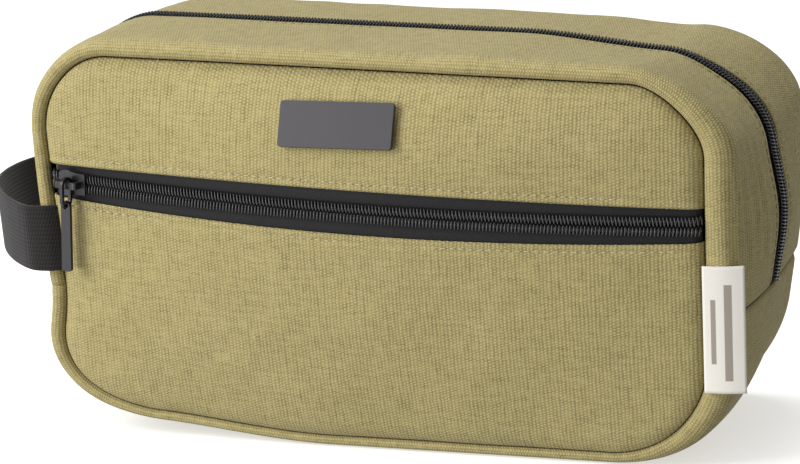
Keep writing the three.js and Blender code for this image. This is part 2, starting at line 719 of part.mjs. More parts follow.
const roundedPlate = (width, height, corner, depth) => {
  const x = width / 2 - corner;
  const y = height / 2 - corner;
  const outline = new THREE.Shape();
  outline.absarc(x, y, corner, 0, Math.PI / 2, false);
  outline.absarc(-x, y, corner, Math.PI / 2, Math.PI, false);
  outline.absarc(-x, -y, corner, Math.PI, Math.PI * 1.5, false);
  outline.absarc(x, -y, corner, Math.PI * 1.5, Math.PI * 2, false);
  return new THREE.ExtrudeGeometry(outline, { depth, bevelEnabled: false, curveSegments: 4 });
};

const PLATE_STAND = 0.6; // the plate clears the swelling cloth by this
const SLOPE_STEP = 8;
const plateFace = frontFace(PLATE.x, PLATE.z);
const plateLean = Math.atan2(
  frontFace(PLATE.x, PLATE.z + SLOPE_STEP) - frontFace(PLATE.x, PLATE.z - SLOPE_STEP),
  2 * SLOPE_STEP,
);
const plateTurn = Math.atan2(
  frontFace(PLATE.x + SLOPE_STEP, PLATE.z) - frontFace(PLATE.x - SLOPE_STEP, PLATE.z),
  2 * SLOPE_STEP,
);
// Local Z stands out of the cloth, and local Y runs up it.
const plateOut = new THREE.Vector3(Math.sin(plateTurn), -1, Math.sin(plateLean)).normalize();
const plateAcross = new THREE.Vector3(0, 0, 1).cross(plateOut).negate().normalize();
const plateUp = plateOut.clone().cross(plateAcross);
const plateBasis = new THREE.Matrix4().makeBasis(plateAcross, plateUp, plateOut);
const plateRotation = new THREE.Quaternion().setFromRotationMatrix(plateBasis);
const plateAt = new THREE.Vector3(PLATE.x, plateFace, PLATE.z);
const plateSpace = new THREE.Matrix4().compose(plateAt, plateRotation, new THREE.Vector3(1, 1, 1));

const PIN_SEGMENTS = 16;
const pinAt = (side, radius, length, middle) =>
  new THREE.CylinderGeometry(radius, radius, length, PIN_SEGMENTS)
    .rotateX(Math.PI / 2)
    .translate((side * PLATE_PIN.apart) / 2, 0, middle);
const pins = [-1, 1].map((side) =>
  pinAt(side, PLATE_PIN.radius, PLATE_PIN.length, PLATE_STAND + 0.5 - PLATE_PIN.length / 2),
);
const plate = roundedPlate(PLATE.width, PLATE.height, PLATE.corner, PLATE.thickness);
add("metal_plate", united(plate.translate(0, 0, PLATE_STAND), ...pins), platePaint)
  .applyMatrix4(plateSpace);

const panelHoles = [-1, 1].map((side) =>
  pinAt(side, PLATE_PIN.radius + GAP, 12, 0).applyMatrix4(plateSpace),
);
add("front_upper_panel", drilled(upperPanel, ...panelHoles), canvas);

const backing = roundedPlate(PLATE.width - 6, 8, 1.5, 0.6).translate(0, 0, -3.4);
const backingHoles = [-1, 1].map((side) => pinAt(side, PLATE_PIN.radius + GAP, 12, 0));
add("plate_backing", drilled(backing, ...backingHoles), gunmetal).applyMatrix4(plateSpace);

// ---- carry loop: 25 mm webbing, sewn into both seams on the left side ----

// Seen from above: distance out of the left seam, and Y. The loop stands furthest out towards the back.
const strapFront = [[0.8, -53.4], [3.5, -55], [8, -55.4], [12, -53.6]];
const strapLoop = [[18, -48.5], [26, -40], [35.5, -27], [43.5, -12], [48.5, 4], [50, 20]];
strapLoop.push([47.5, 34], [40.5, 44], [30, 50.5], [18, 54.8]);
const strapBack = [[12, 56.4], [8, 56.6], [3.5, 55.8], [0.8, 53.8]];

function strapPiece(route, count) {
  const path = new THREE.CatmullRomCurve3(
    route.map(([out, y]) => new THREE.Vector3(-SEAM_HALF_WIDTH - out, y, 0)),
  );
  const half = STRAP.thickness / 2;
  const rows = steps(0, 1, count).map((t) => {
    const at = path.getPointAt(t);
    const along = path.getTangentAt(t);
    const outwards = new THREE.Vector3(-along.y, along.x, 0).multiplyScalar(half);
    return { at, outwards };
  });
  const grid = (side) =>
    rows.map(({ at, outwards }) =>
      [-1, 1].map((edge) =>
        at
          .clone()
          .addScaledVector(outwards, side)
          .setZ(STRAP.height + (edge * STRAP.width) / 2),
      ),
    );
  return softSheet(grid(1), grid(-1));
}
add("carry_loop_front_end", strapPiece(strapFront, 4), webbing);
add("carry_loop", strapPiece(strapLoop, 22), webbing);
add("carry_loop_back_end", strapPiece(strapBack, 4), webbing);

// ---- folded cotton label, sewn into the front seam on the right ----

const label = add(
  "side_label",
  box(LABEL.width, LABEL.thickness, LABEL.height, LABEL.width / 2, 0, LABEL.height / 2),
  cotton,
);
label.position.set(SEAM_HALF_WIDTH + 0.8, -(ROLL_DEPTH + 1.4), LABEL.low);
label.rotation.z = THREE.MathUtils.degToRad(LABEL.turn);

export default bag;
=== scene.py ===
import math

import bmesh
import bpy
import numpy as np
from mathutils import Matrix, Vector, noise


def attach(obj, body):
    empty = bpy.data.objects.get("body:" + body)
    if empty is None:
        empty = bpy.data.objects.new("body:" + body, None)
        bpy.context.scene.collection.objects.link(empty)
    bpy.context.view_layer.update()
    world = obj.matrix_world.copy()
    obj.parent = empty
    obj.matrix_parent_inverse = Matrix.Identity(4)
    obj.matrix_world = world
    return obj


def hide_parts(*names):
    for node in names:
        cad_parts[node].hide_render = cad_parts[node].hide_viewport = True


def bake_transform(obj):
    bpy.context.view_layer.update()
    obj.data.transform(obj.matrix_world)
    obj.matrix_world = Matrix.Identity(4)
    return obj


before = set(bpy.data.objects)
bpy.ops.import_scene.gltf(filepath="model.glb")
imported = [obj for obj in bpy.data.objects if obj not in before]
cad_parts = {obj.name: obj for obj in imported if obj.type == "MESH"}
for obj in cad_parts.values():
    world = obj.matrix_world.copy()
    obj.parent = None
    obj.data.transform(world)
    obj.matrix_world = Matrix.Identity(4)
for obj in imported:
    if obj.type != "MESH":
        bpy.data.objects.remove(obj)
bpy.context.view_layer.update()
MM = 0.001

# ---- studio ----
# A pale seamless table under soft boxes: a large key from the upper left of the front, a low fill from
# the left, a box overhead, and a pale room all round. The camera stands to the right of the front.
camera_data = bpy.data.cameras.new("camera")
camera_data.lens = 147.5
camera_data.sensor_width = 36
camera_data.clip_end = 20
camera = bpy.data.objects.new("camera", camera_data)
bpy.context.scene.collection.objects.link(camera)
bpy.context.scene.camera = camera
aim = Vector((-8, 0, 70.3)) * MM
yaw, pitch, roll = math.radians(20.8), math.radians(12.8), math.radians(-2.55)
stand_off = 1.244
towards = Vector((math.sin(yaw) * math.cos(pitch), -math.cos(yaw) * math.cos(pitch), math.sin(pitch)))
level = (-towards).cross(Vector((0, 0, 1))).normalized()
above = level.cross(-towards)
across = level * math.cos(roll) + above * math.sin(roll)
upright = above * math.cos(roll) - level * math.sin(roll)
turned = Matrix((across, upright, towards)).transposed()
camera.matrix_world = Matrix.Translation(aim + towards * stand_off) @ turned.to_4x4()


def linear(hex_colour):
    shares = [int(hex_colour[k : k + 2], 16) / 255 for k in (1, 3, 5)]
    return [c / 12.92 if c <= 0.04045 else ((c + 0.055) / 1.055) ** 2.4 for c in shares] + [1]


def node(material, kind, links=None, **settings):
    made = material.node_tree.nodes.new("ShaderNode" + kind)
    for name, value in settings.items():
        setattr(made, name, value)
    for socket, value in (links or {}).items():
        if isinstance(value, bpy.types.NodeSocket):
            material.node_tree.links.new(value, made.inputs[socket])
        else:
            made.inputs[socket].default_value = value
    return made


def new_material(name, **shader):
    """A named material with these values on its shader's own sockets, and the shader."""
    material = bpy.data.materials.new(name)
    material.use_nodes = True
    principled = material.node_tree.nodes["Principled BSDF"]
    for socket, value in shader.items():
        principled.inputs[socket.replace("_", " ")].default_value = value
    return material, principled


def wire(material, source, target):
    material.node_tree.links.new(source, target)


floor_bmesh = bmesh.new()
bmesh.ops.create_grid(floor_bmesh, x_segments=1, y_segments=1, size=4)
floor_mesh = bpy.data.meshes.new("floor")
floor_bmesh.to_mesh(floor_mesh)
floor_bmesh.free()
floor_mesh.transform(Matrix.Translation((0, 0, -0.0004)))
floor = bpy.data.objects.new("floor", floor_mesh)
bpy.context.scene.collection.objects.link(floor)
pale_card, _ = new_material(
    "pale_card",
    Base_Color=linear("#fbfbfa"),
    Roughness=0.9,
    Emission_Color=linear("#ffffff"),
    Emission_Strength=0.5,
)
floor_mesh.materials.append(pale_card)
floor.visible_diffuse = False

room = bpy.data.worlds.new("pale_room")
room.use_nodes = True
room.node_tree.nodes["Background"].inputs["Color"].default_value = linear("#ffffff")
room.node_tree.nodes["Background"].inputs["Strength"].default_value = 0.34
bpy.context.scene.world = room
bpy.context.scene.view_settings.view_transform = "Standard"


def soft_box(name, place, size, power):
    data = bpy.data.lights.new(name, "AREA")
    data.shape = "RECTANGLE"
    data.size, data.size_y = size
    data.energy = power
    box = bpy.data.objects.new(name, data)
    bpy.context.scene.collection.objects.link(box)
    facing = (Vector(place) - aim).to_track_quat("Z", "Y")
    box.matrix_world = Matrix.Translation(place) @ facing.to_matrix().to_4x4()


soft_box("key", (-0.95, -0.9, 0.8), (0.8, 0.8), 13)
soft_box("low_fill", (-0.65, -1.35, 0.12), (0.9, 0.3), 11)
soft_box("overhead", (-0.2, 0.2, 1.3), (0.9, 0.6), 7.5)

# ---- canvas and its base gusset ----
# The base gusset is one strip of canvas that runs down one side, along the underside and up the other.
# It is sewn inside out to both panels, so that it rolls outwards along each seam.
SEAM_HALF_WIDTH, SEAM_LOW, SEAM_TOP, SEAM_DEPTH = 125, 4, 141, 50.5
TOP_CORNER, LOW_CORNER, SIDE_SEAM = 27, 37, 57
CANVAS_THICKNESS = 1.2
WIDTH_MARGIN = 0.3  # over each measured width, as no sheet may be declared under 10 mm wide
WARP, WEFT = 1.4, 1.05  # spacing of the cords, and of the beads that the weft makes along each
outline_legs = [
    # a start with a direction, or a corner's middle with its radius and first angle, then the length
    ("line", (-125, 57), (0, 1), 57),
    ("turn", (-98, 114), (27, 180), 27 * math.pi / 2),
    ("line", (-98, 141), (1, 0), 196),
    ("turn", (98, 114), (27, 90), 27 * math.pi / 2),
    ("line", (125, 114), (0, -1), 57),
    ("line", (125, 57), (0, -1), 16),
    ("turn", (88, 41), (37, 0), 37 * math.pi / 2),
    ("line", (88, 4), (-1, 0), 176),
    ("turn", (-88, 41), (37, -90), 37 * math.pi / 2),
    ("line", (-125, 41), (0, 1), 16),
]
ZIP_RUN = sum(leg[3] for leg in outline_legs[:5])
WHOLE_RUN = sum(leg[3] for leg in outline_legs)


def outline(distance):
    """Where the seam's outline is, this far clockwise from the left side seam, and its way out."""
    distance = min(max(distance, 0), WHOLE_RUN)
    for kind, at, about, length in outline_legs:
        if distance <= length + 1e-9:
            break
        distance -= length
    if kind == "line":
        return at[0] + about[0] * distance, at[1] + about[1] * distance, -about[1], about[0]
    angle = math.radians(about[1]) - distance / about[0]
    out = math.cos(angle), math.sin(angle)
    return at[0] + about[0] * out[0], at[1] + about[0] * out[1], *out


def smoothstep(value, low, high):
    share = min(1, max(0, (value - low) / (high - low)))
    return share * share * (3 - 2 * share)


def settled(point):
    """Cloth as it has settled: the left side leans outwards, and the top falls to the right and slumps."""
    lean = 0.07 * max(0, point.z - SIDE_SEAM) * smoothstep(-point.x, 60, 110)
    lift = 3.6 - 0.0306 * (98 + min(98, max(-98, point.x)))
    lift -= 2.6 * smoothstep(-point.x, 98, 125) + 3.2 * smoothstep(point.x, 98, 125)
    lift *= smoothstep(point.z, 100, 140)
    return softened(point) + Vector((-lean, 0, lift))


def softened(point):
    """Smaller sags: the mouth sinks at the right, soft creases run up beside it, and the lower and back
    corners are drawn in."""
    x, y, z = point
    across_mouth = max(0, 1 - (y / 50) ** 2)
    sink = 4.6 * smoothstep(x, 45, 108) * smoothstep(z, 85, 125) * across_mouth
    sink *= 1 - 0.35 * smoothstep(x, 108, 132)
    side_swell = 2.9 * math.exp(-(((z - 84) / 20) ** 2)) * smoothstep(x, 110, 130) * across_mouth
    moved = Vector((side_swell - 0.5 * sink * smoothstep(x, 105, 130), 0, -0.9 * sink))
    at_back = smoothstep(y, 0, 45)
    back_top = at_back * smoothstep(z, 100, 140)
    moved.z += (1.6 * smoothstep(x, 104, 124) - 1.9 * math.exp(-(((x - 94) / 18) ** 2))) * back_top
    moved.x += 0.8 * smoothstep(x, 112, 130) * at_back * smoothstep(z, 85, 125)
    moved.x -= 7.5 * smoothstep(x, 90, 135) * smoothstep(y, -45, 35) * (1 - smoothstep(z, 15, 85))
    low_left = 1 - smoothstep(z, 10, 55)
    moved.z += 6.2 * smoothstep(-x, 20, 105) * low_left
    moved.x -= 5.2 * smoothstep(-x, 85, 118) * low_left
    beside_mouth = smoothstep(x, 115, 127) * smoothstep(-y, 10, 24)
    creased = beside_mouth * smoothstep(z, 58, 80) * (1 - smoothstep(z, 100, 128))
    moved.x += 0.4 * creased * math.sin(0.72 * y + 0.04 * z)
    return point + moved


def bulge(out_x, out_z):
    """How far the gusset stands out here, how much of that is crown, and how wide its roll is."""
    down = max(0, -out_z) ** 2
    most = (13.5 if out_x > 0 else 8) * out_x**2 + (8 if out_z > 0 else 4) * out_z**2
    return most, 0.14 * (1 - down), 6.5 - 3.3 * down


def crown(most, share, y):
    return most * (1 - share) + most * share * (1 - (y / 46.5) ** 2)


ROLL_START = math.radians(142)
ROLL_SHARE = 0.4  # of a half section's rows
SEAM_TUCK = 0.05  # the rows that go down into the seam


def half_section(distance, t, inner):
    """A point of the gusset between its seam, at t 0, and `inner` from the middle, at t 1."""
    x, z, out_x, out_z = outline(distance)
    most, share, width = bulge(out_x, out_z)
    half = most * (1 - share) / 2
    roll_inner = SEAM_DEPTH - width * math.sin(ROLL_START)
    if t < ROLL_SHARE:
        angle = ROLL_START * (1 - t / ROLL_SHARE)
        start = half * (1 + math.cos(ROLL_START))
        height = half * (1 + math.cos(angle)) - start * angle / ROLL_START
        y = roll_inner + width * math.sin(angle)
    else:
        y = roll_inner + (inner - roll_inner) * (t - ROLL_SHARE) / (1 - ROLL_SHARE)
        height = crown(most, share, y)
    y -= 1.3 * max(0, 1 - t / SEAM_TUCK)
    return Vector((x + out_x * height, y, z + out_z * height))


def sheet_of(
    name,
    rows,
    columns,
    place,
    material,
    thickness=CANVAS_THICKNESS,
    sink=0,
    rumple=0.0,
    cut="tape",
):
    """A sheet from a grid laid at place(s, t), in mm. Its UV map is the cloth's own metres, and U crosses
    the canvas warp: a panel is cut with its warp upright, and a strip with it lengthwise. A tape has its
    length along U. The flat size it works out is measured on its own finished surface."""
    made = bmesh.new()
    bmesh.ops.create_grid(made, x_segments=rows, y_segments=columns, size=0.5)
    shares = {v: (v.co.x + 0.5, v.co.y + 0.5) for v in made.verts}
    row_of = {round(s, 5): k for k, s in enumerate(sorted({round(s, 5) for s, _ in shares.values()}))}
    column_of = {round(t, 5): k for k, t in enumerate(sorted({round(t, 5) for _, t in shares.values()}))}
    points = np.zeros((len(row_of), len(column_of), 3))
    spot = {}
    for v, (s, t) in shares.items():
        spot[v] = row_of[round(s, 5)], column_of[round(t, 5)]
        v.co = place(s, t)
        points[spot[v]] = v.co
    across_lengths = np.linalg.norm(np.diff(points, axis=1), axis=2)
    across_map = np.pad(np.cumsum(across_lengths, axis=1), ((0, 0), (1, 0)))
    middle = points.shape[1] // 2
    along_map = np.pad(np.cumsum(np.linalg.norm(np.diff(points[:, middle], axis=0), axis=1)), (1, 0))
    uv = made.loops.layers.uv.new("cloth")
    for face in made.faces:
        for corner in face.loops:
            row, column = spot[corner.vert]
            if cut == "panel":
                corner[uv].uv = corner.vert.co.x * MM, corner.vert.co.z * MM
            elif cut == "strip":
                corner[uv].uv = across_map[row, column] * MM, along_map[row] * MM
            else:
                corner[uv].uv = along_map[row] * MM, across_map[row, column] * MM
    made.normal_update()
    bag_middle = Vector((0, 0, 72))
    facing = sum(f.normal.dot(f.calc_center_median() - bag_middle) * f.calc_area() for f in made.faces)
    if facing < 0:
        bmesh.ops.reverse_faces(made, faces=made.faces)
        made.normal_update()
    if rumple or sink:
        last_row, last_column = points.shape[0] - 1, points.shape[1] - 1
        moves = {}
        for v in made.verts:
            row, column = spot[v]
            from_ends = min(row, last_row - row) / last_row
            from_sides = min(column, last_column - column) / last_column
            free = min(1, from_ends * 6, from_sides * 6)
            broad = noise.noise(v.co / 34) + 0.5 * noise.noise(v.co / 15 + Vector((7, 3, 1)))
            moves[v] = v.normal * (rumple * free * broad - sink)
        for v, move in moves.items():
            v.co += move
    flat = (across_map[:, -1].max() + WIDTH_MARGIN) * MM, along_map[-1] * MM
    area = min(sum(f.calc_area() for f in made.faces) * MM**2, flat[0] * flat[1])
    piece = finish_piece(name, made, material, thickness)
    return piece


def finish_piece(name, made, material, thickness=0, smooth=True):
    """Turns a bmesh in mm into a piece in metres, with a wall inside its face if it has a thickness."""
    bmesh.ops.scale(made, vec=(MM, MM, MM), verts=made.verts)
    mesh = bpy.data.meshes.new(name)
    made.to_mesh(mesh)
    made.free()
    mesh.materials.append(material)
    for face in mesh.polygons:
        face.use_smooth = smooth
    piece = bpy.data.objects.new(name, mesh)
    bpy.context.scene.collection.objects.link(piece)
    if thickness:
        wall = piece.modifiers.new("wall", "SOLIDIFY")
        wall.thickness = thickness * MM
        wall.offset = -1
    return piece


def plain_weave(material, yarn, wander=0.25):
    """Height of a plain weave, from 0 in the gaps to 1 on the yarns, from a UV map in metres."""
    cloth = node(material, "TexCoord").outputs["UV"]
    drift = node(material, "TexNoise", {"Vector": cloth, "Scale": 420.0, "Detail": 2.0})
    centre = (0.5, 0.5, 0.5)
    shift = node(material, "VectorMath", {0: drift.outputs["Color"], 1: centre}, operation="SUBTRACT")
    scaled = node(material, "VectorMath", {0: shift.outputs[0], 3: wander * yarn * MM * 2}, operation="SCALE")
    moved = node(material, "VectorMath", {0: cloth, 1: scaled.outputs[0]}, operation="ADD")
    axes = node(material, "SeparateXYZ", {0: moved.outputs[0]})
    waves, per_metre = [], math.pi / (yarn * MM)
    for axis in ("X", "Y"):
        turns = node(material, "Math", {0: axes.outputs[axis], 1: per_metre}, operation="MULTIPLY")
        waves.append(node(material, "Math", {0: turns.outputs[0]}, operation="SINE").outputs[0])
    checks = node(material, "Math", {0: waves[0], 1: waves[1]}, operation="MULTIPLY")
    return node(material, "Math", {0: checks.outputs[0], 1: 0.5, 2: 0.5}, operation="MULTIPLY_ADD").outputs[0]


def two_tone(material, share, low, high):
    """A mix of two hex colours by this share."""
    return node(material, "Mix", {0: share, 6: linear(low), 7: linear(high)}, data_type="RGBA")


# Cotton canvas, piece-dyed khaki: matt, with raised yarns, painted shade darkening the gaps between them,
# thick and thin slubs, and a faint unevenness of the dye.
canvas, canvas_shader = new_material(
    "khaki_cotton_canvas", Roughness=0.92, Sheen_Weight=0.12, Sheen_Roughness=0.5, Specular_IOR_Level=0.25
)
cloth_map = node(canvas, "TexCoord").outputs["UV"]
drift = node(canvas, "TexNoise", {"Vector": cloth_map, "Scale": 300.0, "Detail": 2.0})
drifted = node(canvas, "VectorMath", {0: drift.outputs["Color"], 1: (-0.5, -0.5, -0.5)}, operation="ADD")
drift_mm = node(canvas, "VectorMath", {0: drifted.outputs[0], 3: 0.9 * MM}, operation="SCALE")
yarn_place = node(canvas, "VectorMath", {0: cloth_map, 1: drift_mm.outputs[0]}, operation="ADD")
yarn_axes = node(canvas, "SeparateXYZ", {0: yarn_place.outputs[0]})
warp_rate, weft_rate = math.pi / (WARP * MM), 2 * math.pi / (WEFT * MM)
warp_turns = node(canvas, "Math", {0: yarn_axes.outputs["X"], 1: warp_rate}, operation="MULTIPLY")
weft_turns = node(canvas, "Math", {0: yarn_axes.outputs["Y"], 1: weft_rate}, operation="MULTIPLY")
warp_wave = node(canvas, "Math", {0: warp_turns.outputs[0]}, operation="COSINE").outputs[0]
weft_wave = node(canvas, "Math", {0: weft_turns.outputs[0]}, operation="COSINE").outputs[0]
cords = node(canvas, "Math", {0: warp_wave, 1: warp_wave}, operation="MULTIPLY").outputs[0]
beads = node(canvas, "Math", {0: warp_wave, 1: weft_wave}, operation="MULTIPLY").outputs[0]
beaded = node(canvas, "Math", {0: beads, 1: 0.32, 2: 0.3}, operation="MULTIPLY_ADD").outputs[0]
weave = node(canvas, "Math", {0: cords, 1: 0.38, 2: beaded}, operation="MULTIPLY_ADD").outputs[0]
slubs = []
for stretch in ((1, 6, 1), (6, 1, 1)):
    stretched = node(canvas, "Mapping", {"Vector": cloth_map, "Scale": [k * 130.0 for k in stretch]})
    slubs.append(node(canvas, "TexNoise", {"Vector": stretched.outputs[0], "Scale": 1.0, "Detail": 3.0}))
slub = node(canvas, "Math", {0: slubs[0].outputs["Fac"], 1: slubs[1].outputs["Fac"]}, operation="ADD")
slub_part = node(canvas, "Math", {0: slub.outputs[0], 1: 0.55, 2: -0.3}, operation="MULTIPLY_ADD")
height = node(canvas, "Math", {0: weave, 1: slub_part.outputs[0]}, operation="ADD")
dye_spots = node(canvas, "TexNoise", {"Vector": cloth_map, "Scale": 38.0, "Detail": 4.0, "Roughness": 0.6})
yarn_colour = two_tone(canvas, dye_spots.outputs["Fac"], "#b2a56e", "#c0b27e")
# Painted shade: the colour darkens towards #40381e where the weave and its slubs are low, in the gaps between
# the yarns.
painted_gap_shade = node(canvas, "MapRange", {"Value": height.outputs[0], "From Min": 0.05, "From Max": 0.85})
canvas_colour = node(
    canvas,
    "Mix",
    {0: painted_gap_shade.outputs[0], 6: linear("#40381e"), 7: yarn_colour.outputs[2]},
    data_type="RGBA",
)
wire(canvas, canvas_colour.outputs[2], canvas_shader.inputs["Base Color"])
canvas_bump = node(canvas, "Bump", {"Height": height.outputs[0], "Distance": 0.0003, "Strength": 0.8})
wire(canvas, canvas_bump.outputs[0], canvas_shader.inputs["Normal"])


def side_seam_dip(distance, start, end):
    """The gussets' ends turn in where they are sewn to each other at the side seams."""
    near = min(distance - start, end - distance)
    depth = 0.3 if distance < 12 or distance > WHOLE_RUN - 12 else 1.1
    return depth * max(0, 1 - near / 3.5) ** 2


def base_point(s, t):
    distance = ZIP_RUN + 0.4 + (WHOLE_RUN - ZIP_RUN - 0.45) * s
    point = half_section(distance, 2 * min(t, 1 - t), 0)
    if t < 0.5:
        point.y = -point.y
    _, _, out_x, out_z = outline(distance)
    dip = side_seam_dip(distance, ZIP_RUN, WHOLE_RUN)
    return settled(point - Vector((out_x, 0, out_z)) * dip)


base = sheet_of("base_gusset_canvas", 150, 76, base_point, canvas, cut="strip")
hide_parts("base_gusset")
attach(base, "bag")

# ---- back panel ----
# One plain panel of the same canvas, cut with round corners and sewn into the gusset all round.
PANEL_INSET = 0.0


def half_width(z, inset):
    upper = z > (SEAM_LOW + SEAM_TOP) / 2
    corner = TOP_CORNER if upper else LOW_CORNER
    beyond = max(0, z - (SEAM_TOP - corner) if upper else SEAM_LOW + corner - z)
    return SEAM_HALF_WIDTH - corner + math.sqrt(max(0, (corner - inset) ** 2 - beyond**2))


def inside_seam(x, z):
    upper = z > (SEAM_LOW + SEAM_TOP) / 2
    corner = TOP_CORNER if upper else LOW_CORNER
    over_x = abs(x) - (SEAM_HALF_WIDTH - corner)
    over_z = z - (SEAM_TOP - corner) if upper else SEAM_LOW + corner - z
    return corner - math.hypot(max(over_x, 0), max(over_z, 0)) - min(max(over_x, over_z), 0)


def edge_roll(x, z):
    share = min(1, max(0, inside_seam(x, z) - PANEL_INSET) / 7)
    return 3.8 * math.sqrt(1 - (1 - share) ** 2) - 1.3


def back_face(x, z):
    u, v = x / SEAM_HALF_WIDTH, (2 * z - SEAM_TOP - SEAM_LOW) / (SEAM_TOP - SEAM_LOW)
    return SEAM_DEPTH + edge_roll(x, z) + 5 * (1 - u**2) * (1 - v**2)


def bunched(share):
    """Spaces rows so that they are closer near both edges, where the panel turns into its seam."""
    return (1 - math.cos(math.pi * share)) / 2


def panel_point(low, high, inset, face):
    def place(s, t):
        edges = bunched(t)
        reach, side = SEAM_HALF_WIDTH, 1 if s > 0.5 else -1
        for _ in range(4):
            end = side * reach
            reach = half_width(low(end) + (high(end) - low(end)) * edges, inset)
        x = (2 * bunched(s) - 1) * reach
        z = low(x) + (high(x) - low(x)) * edges
        return settled(Vector((x, face(x, z), z)))

    return place


def low_edge(x):
    return SEAM_LOW + PANEL_INSET


def top_edge(x):
    return SEAM_TOP - PANEL_INSET


back = sheet_of(
    "back_panel_canvas",
    110,
    70,
    panel_point(low_edge, top_edge, PANEL_INSET, back_face),
    canvas,
    rumple=0.9,
    cut="panel",
)
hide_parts("back_panel")
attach(back, "bag")

# ---- zip gussets ----
# Two long canvas strips, one on each side of the main zip. Their inner edges are turned under beside the
# coil and stitched down. Each strip is one piece here, over the top as well, where the real bag's lip folds
# back when open.
HEM_ROWS = 0.06


def mouth_edge(out_x):
    """The canvas edges lie further apart down the right side, where the zip is under tension."""
    return 4.1 + 3.4 * max(0, out_x) ** 2


def zip_strip_point(side):
    def place(s, t):
        distance = 0.05 + (ZIP_RUN - 0.45) * s
        flat = min(1, t / (1 - HEM_ROWS))
        _, _, out_x, out_z = outline(distance)
        edge = mouth_edge(out_x)
        point = half_section(distance, flat, edge + 0.9)
        turn_in = max(0, t - (1 - HEM_ROWS)) / HEM_ROWS * math.pi / 2
        point.y -= 0.9 * math.sin(turn_in)
        drop = 0.9 * (1 - math.cos(turn_in)) + side_seam_dip(distance, 0, ZIP_RUN)
        ridge = math.exp(-(((point.y - edge - 2.6) / 1.1) ** 2))
        point -= Vector((out_x, 0, out_z)) * (drop + 0.22 * ridge - 0.25)
        point.y *= side
        return settled(point)

    return place


for half, side in (("front", -1), ("back", 1)):
    strip_place = zip_strip_point(side)
    strip = sheet_of(f"zip_gusset_{half}_canvas", 190, 44, strip_place, canvas, rumple=0.7, cut="strip")
    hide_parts(*[f"zip_gusset_{half}_{place}" for place in ("left", "lip", "right")])
    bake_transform(strip)

# ---- lining ----
# Thin olive polyester behind every canvas piece. Behind the front it is also the pocket's inner wall.
LINING_THICKNESS = 0.5
lining, lining_shader = new_material(
    "olive_lining_cloth", Roughness=0.7, Sheen_Weight=0.1, Specular_IOR_Level=0.35
)
lining_weave = plain_weave(lining, 0.4)
# Painted shade: the lining's colour is darker in the gaps of its weave and lighter on the yarns.
lining_colour = two_tone(lining, lining_weave, "#57533a", "#6e694b")
wire(lining, lining_colour.outputs[2], lining_shader.inputs["Base Color"])
lining_bump = node(lining, "Bump", {"Height": lining_weave, "Distance": 0.00008, "Strength": 0.6})
wire(lining, lining_bump.outputs[0], lining_shader.inputs["Normal"])

SLOPE = math.atan2(1, 14)
RISE = math.hypot(1, 14)
ARC = (SEAM_HALF_WIDTH**2 + RISE**2) / (2 * RISE)


def arc_rise(x):
    return math.sqrt(ARC**2 - x**2) - ARC + RISE


def swell(x):
    return arc_rise(x) * math.cos(SLOPE)


def front_shape(z):
    past = max(0, abs(z - 93.2) - 12)
    return 1 - (past / (35.8 if z > 93.2 else 77.2)) ** 2


def wall_face(x, z):
    return -(SEAM_DEPTH - 2 + 0.3 * swell(x) * max(0, front_shape(z)))


def lining_back_face(x, z):
    return back_face(x, z) - edge_roll(x, z) - 2


for name, face, stands_for in (
    ("pocket_inner_wall", wall_face, "pocket_wall"),
    ("back_lining", lining_back_face, "lining_back_panel"),
):
    place = panel_point(lambda x: SEAM_LOW + 1.6, lambda x: SEAM_TOP - 1.6, 1.6, face)
    wall = sheet_of(name, 60, 40, place, lining, LINING_THICKNESS, rumple=0.3)
    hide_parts(stands_for)
    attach(wall, "bag")

for half, side in (("front", -1), ("back", 1)):

    def lining_point(s, t):
        point = half_section(0.5 + (ZIP_RUN - 1) * s, ROLL_SHARE + (1 - ROLL_SHARE) * t, 9)
        point.y *= side
        return settled(point)

    inner = sheet_of(f"zip_gusset_{half}_lining", 120, 16, lining_point, lining, LINING_THICKNESS, sink=2.6)
    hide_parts(*[f"lining_gusset_{half}_{place}" for place in ("left", "lip", "right")])
    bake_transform(inner)


def base_lining_point(s, t):
    distance = ZIP_RUN + 0.5 + (WHOLE_RUN - ZIP_RUN - 1) * s
    point = half_section(distance, ROLL_SHARE + (1 - ROLL_SHARE) * 2 * min(t, 1 - t), 0)
    if t < 0.5:
        point.y = -point.y
    return settled(point)


base_lining = sheet_of("base_lining", 90, 30, base_lining_point, lining, LINING_THICKNESS, sink=2.6)
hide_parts("lining_base")
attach(base_lining, "bag")

# ---- seam bindings ----
# The raw edges of each seam stand inwards and are bound with a black woven tape, folded over them.
BINDING_FOLD, BINDING_SPREAD = 5.6, 0.9  # how far it reaches in, and between its two leaves
binding, binding_shader = new_material("black_binding_tape", Roughness=0.85, Specular_IOR_Level=0.3)
binding_ribs = node(
    binding,
    "TexWave",
    {"Vector": node(binding, "TexCoord").outputs["UV"], "Scale": 220.0, "Distortion": 0.3},
    bands_direction="X",
)
# Painted shade and light: the ribs are painted as lighter and darker bands.
binding_colour = two_tone(binding, binding_ribs.outputs["Fac"], "#1c1b1a", "#2e2c2a")
wire(binding, binding_colour.outputs[2], binding_shader.inputs["Base Color"])
for half, side in (("front", -1), ("back", 1)):

    def binding_point(s, t):
        x, z, out_x, out_z = outline(WHOLE_RUN * s)
        height = -2.2 - BINDING_FOLD * math.sin(math.pi * t)
        y = side * (46.8 - BINDING_SPREAD * smoothstep(t, 0.3, 0.7))
        return settled(Vector((x + out_x * height, y, z + out_z * height)))

    bound = sheet_of(f"seam_binding_{half}_tape", 120, 8, binding_point, binding, 0.3)
    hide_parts(f"seam_binding_{half}")
    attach(bound, "bag")

